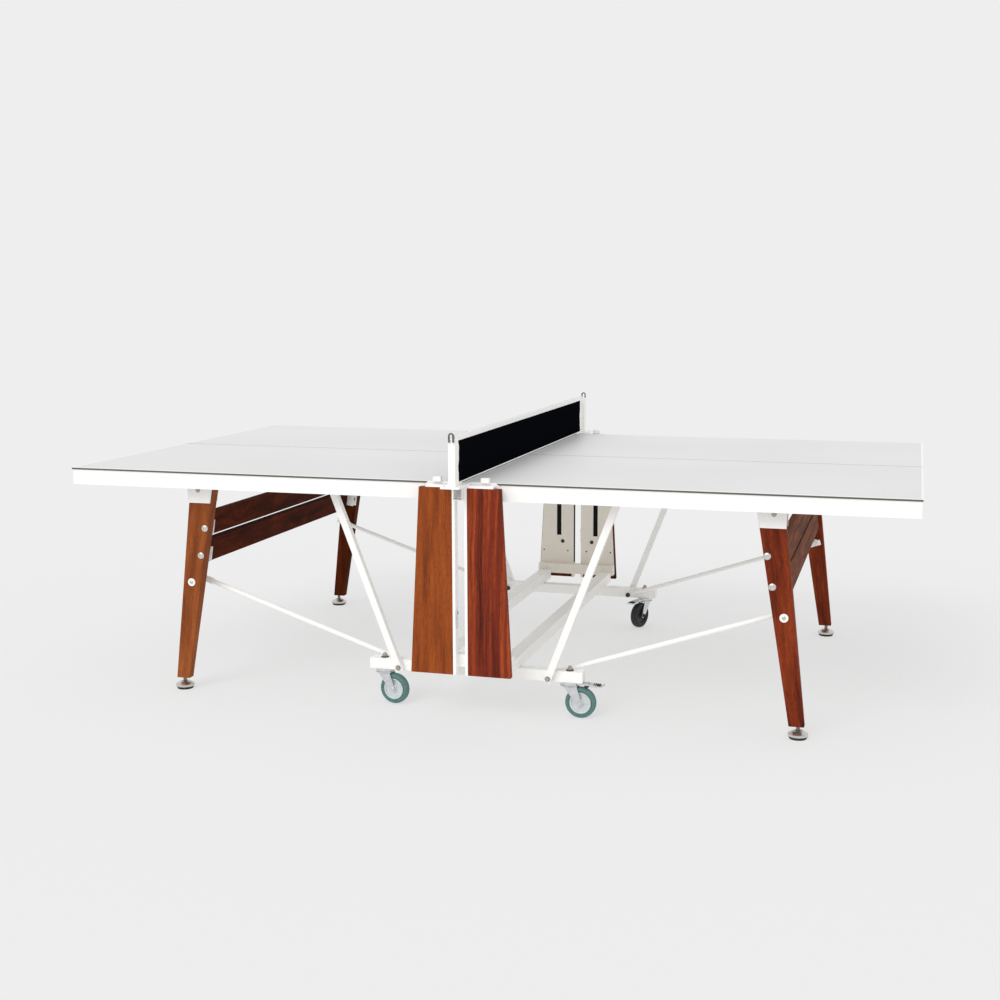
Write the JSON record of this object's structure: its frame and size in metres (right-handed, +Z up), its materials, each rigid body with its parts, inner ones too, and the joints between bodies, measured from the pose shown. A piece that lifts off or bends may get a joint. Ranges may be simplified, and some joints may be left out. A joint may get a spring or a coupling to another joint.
{
  "type": "ping pong table",
  "caption": "Folding table tennis table with a net, splayed wood legs on levelling feet, and a white steel carriage on swivel castors.",
  "frame": {"origin": "on the floor under the middle of the net", "axes": "+X along the table to its right end, +Y across the table away from the viewer, +Z up"},
  "size_m": [2.74, 1.772, 0.922],
  "materials": {
    "white_steel": "satin white powder coat",
    "laminate_top": "matt pale grey laminate",
    "wood_left": "oiled orange-brown hardwood",
    "wood_right": "oiled red-brown striped hardwood",
    "net_mesh": "black polyester mesh with white tape",
    "chrome": "polished",
    "zinc": "zinc plated",
    "tyre_grey": "grey-green rubber on a zinc hub",
    "tyre_black": "black rubber on a zinc hub"
  },
  "bodies": {
    "carriage": {"cross_beam_near": "white_steel", "upright_near": "white_steel", "net_base_near": "white_steel", "net_post_near": "white_steel", "net_hook_near": "chrome", "cross_beam_far": "white_steel", "upright_far": "white_steel", "net_base_far": "white_steel", "net_post_far": "white_steel", "net_hook_far": "chrome", "rail_left": "white_steel", "rail_right": "white_steel", "wood_panel_left_near": "wood_left", "wood_panel_left_far": "wood_left", "wood_panel_right_near": "wood_right", "wood_panel_right_far": "wood_right", "net": "net_mesh"},
    "slot_shaft_left": {"slot_shaft_left": "zinc"},
    "half_left": {"top_left": "laminate_top", "apron_left": "white_steel", "leg_bracket_left_near": "white_steel", "leg_bracket_left_far": "white_steel"},
    "leg_frame_left": {"leg_left_near": "wood_left", "leg_left_far": "wood_left", "plank_upper_left": "wood_left", "plank_lower_left": "wood_left"},
    "strut_left_near": {"strut_left_near": "white_steel"},
    "brace_rod_left_near": {"brace_rod_left_near": "white_steel"},
    "foot_left_near": {"levelling_foot_left_near": "chrome"},
    "castor_left_near": {"castor_fork_left_near": "zinc"},
    "wheel_left_near": {"castor_wheel_left_near": "tyre_grey"},
    "strut_left_far": {"strut_left_far": "white_steel"},
    "brace_rod_left_far": {"brace_rod_left_far": "white_steel"},
    "foot_left_far": {"levelling_foot_left_far": "chrome"},
    "castor_left_far": {"castor_fork_left_far": "zinc"},
    "wheel_left_far": {"castor_wheel_left_far": "tyre_black"},
    "slot_shaft_right": {"slot_shaft_right": "zinc"},
    "half_right": {"top_right": "laminate_top", "apron_right": "white_steel", "leg_bracket_right_near": "white_steel", "leg_bracket_right_far": "white_steel"},
    "leg_frame_right": {"leg_right_near": "wood_right", "leg_right_far": "wood_right", "plank_upper_right": "wood_right", "plank_lower_right": "wood_right"},
    "strut_right_near": {"strut_right_near": "white_steel"},
    "brace_rod_right_near": {"brace_rod_right_near": "white_steel"},
    "foot_right_near": {"levelling_foot_right_near": "chrome"},
    "castor_right_near": {"castor_fork_right_near": "zinc"},
    "wheel_right_near": {"castor_wheel_right_near": "tyre_grey"},
    "pedal_right_near": {"brake_pedal_right_near": "zinc"},
    "strut_right_far": {"strut_right_far": "white_steel"},
    "brace_rod_right_far": {"brace_rod_right_far": "white_steel"},
    "foot_right_far": {"levelling_foot_right_far": "chrome"},
    "castor_right_far": {"castor_fork_right_far": "zinc"},
    "wheel_right_far": {"castor_wheel_right_far": "tyre_black"},
    "pedal_right_far": {"brake_pedal_right_far": "zinc"},
    "lever_near": {"lock_lever_near": "zinc"},
    "lever_far": {"lock_lever_far": "zinc"}
  },
  "joints": [
    {"name": "shaft_slide_left", "type": "slide", "parent": "carriage", "child": "slot_shaft_left", "axis": [0, 0, -1], "range_m": [0, 0.3975]},
    {"name": "fold_left", "type": "hinge", "parent": "slot_shaft_left", "child": "half_left", "pos_m": [-0.0775, 0, 0.739], "axis": [0, 1, 0], "range_deg": [0, 90]},
    {"name": "leg_fold_left", "type": "hinge", "parent": "half_left", "child": "leg_frame_left", "pos_m": [-0.946, 0, 0.688], "axis": [0, -1, 0], "range_deg": [0, 87.62]},
    {"name": "strut_pivot_left_near", "type": "hinge", "parent": "half_left", "child": "strut_left_near", "pos_m": [-0.475, -0.6695, 0.716], "axis": [0, -1, 0], "range_deg": [0, 55.2]},
    {"name": "rod_pivot_left_near", "type": "hinge", "parent": "leg_frame_left", "child": "brace_rod_left_near", "pos_m": [-0.983, -0.602, 0.3745], "axis": [0, 1, 0], "range_deg": [0, 74.54]},
    {"name": "foot_turn_left_near", "type": "hinge", "parent": "leg_frame_left", "child": "foot_left_near", "pos_m": [-1.0325, -0.6655, 0.02], "axis": [0, 0, 1], "continuous": true},
    {"name": "castor_swivel_left_near", "type": "hinge", "parent": "carriage", "child": "castor_left_near", "pos_m": [-0.313, -0.636, 0.112], "axis": [0, 0, 1], "continuous": true},
    {"name": "wheel_spin_left_near", "type": "hinge", "parent": "castor_left_near", "child": "wheel_left_near", "pos_m": [-0.27735, -0.64101, 0.05], "axis": [0.1392, 0.9903, 0], "continuous": true},
    {"name": "strut_pivot_left_far", "type": "hinge", "parent": "half_left", "child": "strut_left_far", "pos_m": [-0.475, 0.6695, 0.716], "axis": [0, -1, 0], "range_deg": [0, 55.2]},
    {"name": "rod_pivot_left_far", "type": "hinge", "parent": "leg_frame_left", "child": "brace_rod_left_far", "pos_m": [-0.983, 0.602, 0.3745], "axis": [0, 1, 0], "range_deg": [0, 74.54]},
    {"name": "foot_turn_left_far", "type": "hinge", "parent": "leg_frame_left", "child": "foot_left_far", "pos_m": [-1.0325, 0.6655, 0.02], "axis": [0, 0, 1], "continuous": true},
    {"name": "castor_swivel_left_far", "type": "hinge", "parent": "carriage", "child": "castor_left_far", "pos_m": [-0.313, 0.636, 0.112], "axis": [0, 0, 1], "continuous": true},
    {"name": "wheel_spin_left_far", "type": "hinge", "parent": "castor_left_far", "child": "wheel_left_far", "pos_m": [-0.34683, 0.64831, 0.05], "axis": [-0.342, -0.9397, 0], "continuous": true},
    {"name": "shaft_slide_right", "type": "slide", "parent": "carriage", "child": "slot_shaft_right", "axis": [0, 0, -1], "range_m": [0, 0.3975]},
    {"name": "fold_right", "type": "hinge", "parent": "slot_shaft_right", "child": "half_right", "pos_m": [0.0775, 0, 0.739], "axis": [0, -1, 0], "range_deg": [0, 90]},
    {"name": "leg_fold_right", "type": "hinge", "parent": "half_right", "child": "leg_frame_right", "pos_m": [0.946, 0, 0.688], "axis": [0, 1, 0], "range_deg": [0, 87.62]},
    {"name": "strut_pivot_right_near", "type": "hinge", "parent": "half_right", "child": "strut_right_near", "pos_m": [0.475, -0.6695, 0.716], "axis": [0, 1, 0], "range_deg": [0, 55.2]},
    {"name": "rod_pivot_right_near", "type": "hinge", "parent": "leg_frame_right", "child": "brace_rod_right_near", "pos_m": [0.983, -0.602, 0.3745], "axis": [0, -1, 0], "range_deg": [0, 74.54]},
    {"name": "foot_turn_right_near", "type": "hinge", "parent": "leg_frame_right", "child": "foot_right_near", "pos_m": [1.0325, -0.6655, 0.02], "axis": [0, 0, 1], "continuous": true},
    {"name": "castor_swivel_right_near", "type": "hinge", "parent": "carriage", "child": "castor_right_near", "pos_m": [0.313, -0.636, 0.112], "axis": [0, 0, 1], "continuous": true},
    {"name": "wheel_spin_right_near", "type": "hinge", "parent": "castor_right_near", "child": "wheel_right_near", "pos_m": [0.349, -0.636, 0.05], "axis": [0, 1, 0], "continuous": true},
    {"name": "brake_press_right_near", "type": "hinge", "parent": "castor_right_near", "child": "pedal_right_near", "pos_m": [0.38, -0.636, 0.109], "axis": [0, 1, 0], "range_deg": [0, 12]},
    {"name": "strut_pivot_right_far", "type": "hinge", "parent": "half_right", "child": "strut_right_far", "pos_m": [0.475, 0.6695, 0.716], "axis": [0, 1, 0], "range_deg": [0, 55.2]},
    {"name": "rod_pivot_right_far", "type": "hinge", "parent": "leg_frame_right", "child": "brace_rod_right_far", "pos_m": [0.983, 0.602, 0.3745], "axis": [0, -1, 0], "range_deg": [0, 74.54]},
    {"name": "foot_turn_right_far", "type": "hinge", "parent": "leg_frame_right", "child": "foot_right_far", "pos_m": [1.0325, 0.6655, 0.02], "axis": [0, 0, 1], "continuous": true},
    {"name": "castor_swivel_right_far", "type": "hinge", "parent": "carriage", "child": "castor_right_far", "pos_m": [0.313, 0.636, 0.112], "axis": [0, 0, 1], "continuous": true},
    {"name": "wheel_spin_right_far", "type": "hinge", "parent": "castor_right_far", "child": "wheel_right_far", "pos_m": [0.29893, 0.60286, 0.05], "axis": [0.9205, -0.3907, 0], "continuous": true},
    {"name": "brake_press_right_far", "type": "hinge", "parent": "castor_right_far", "child": "pedal_right_far", "pos_m": [0.28682, 0.57433, 0.109], "axis": [0.9205, -0.3907, 0], "range_deg": [0, 12]},
    {"name": "lever_swing_near", "type": "hinge", "parent": "carriage", "child": "lever_near", "pos_m": [-0.0155, -0.785, 0.352], "axis": [1, 0, 0], "range_deg": [-30, 30]},
    {"name": "lever_swing_far", "type": "hinge", "parent": "carriage", "child": "lever_far", "pos_m": [0.0155, 0.785, 0.352], "axis": [1, 0, 0], "range_deg": [-30, 30]}
  ],
  "couplings": [
    {"joint": "shaft_slide_left", "follows": "fold_left", "m_per_rad": 0.25306},
    {"joint": "leg_fold_left", "follows": "fold_left", "ratio": 0.97357},
    {"joint": "strut_pivot_left_near", "follows": "fold_left", "ratio": 0.61333},
    {"joint": "rod_pivot_left_near", "follows": "fold_left", "ratio": 0.82826},
    {"joint": "strut_pivot_left_far", "follows": "fold_left", "ratio": 0.61333},
    {"joint": "rod_pivot_left_far", "follows": "fold_left", "ratio": 0.82826},
    {"joint": "shaft_slide_right", "follows": "fold_right", "m_per_rad": 0.25306},
    {"joint": "leg_fold_right", "follows": "fold_right", "ratio": 0.97357},
    {"joint": "strut_pivot_right_near", "follows": "fold_right", "ratio": 0.61333},
    {"joint": "rod_pivot_right_near", "follows": "fold_right", "ratio": 0.82826},
    {"joint": "strut_pivot_right_far", "follows": "fold_right", "ratio": 0.61333},
    {"joint": "rod_pivot_right_far", "follows": "fold_right", "ratio": 0.82826}
  ]
}
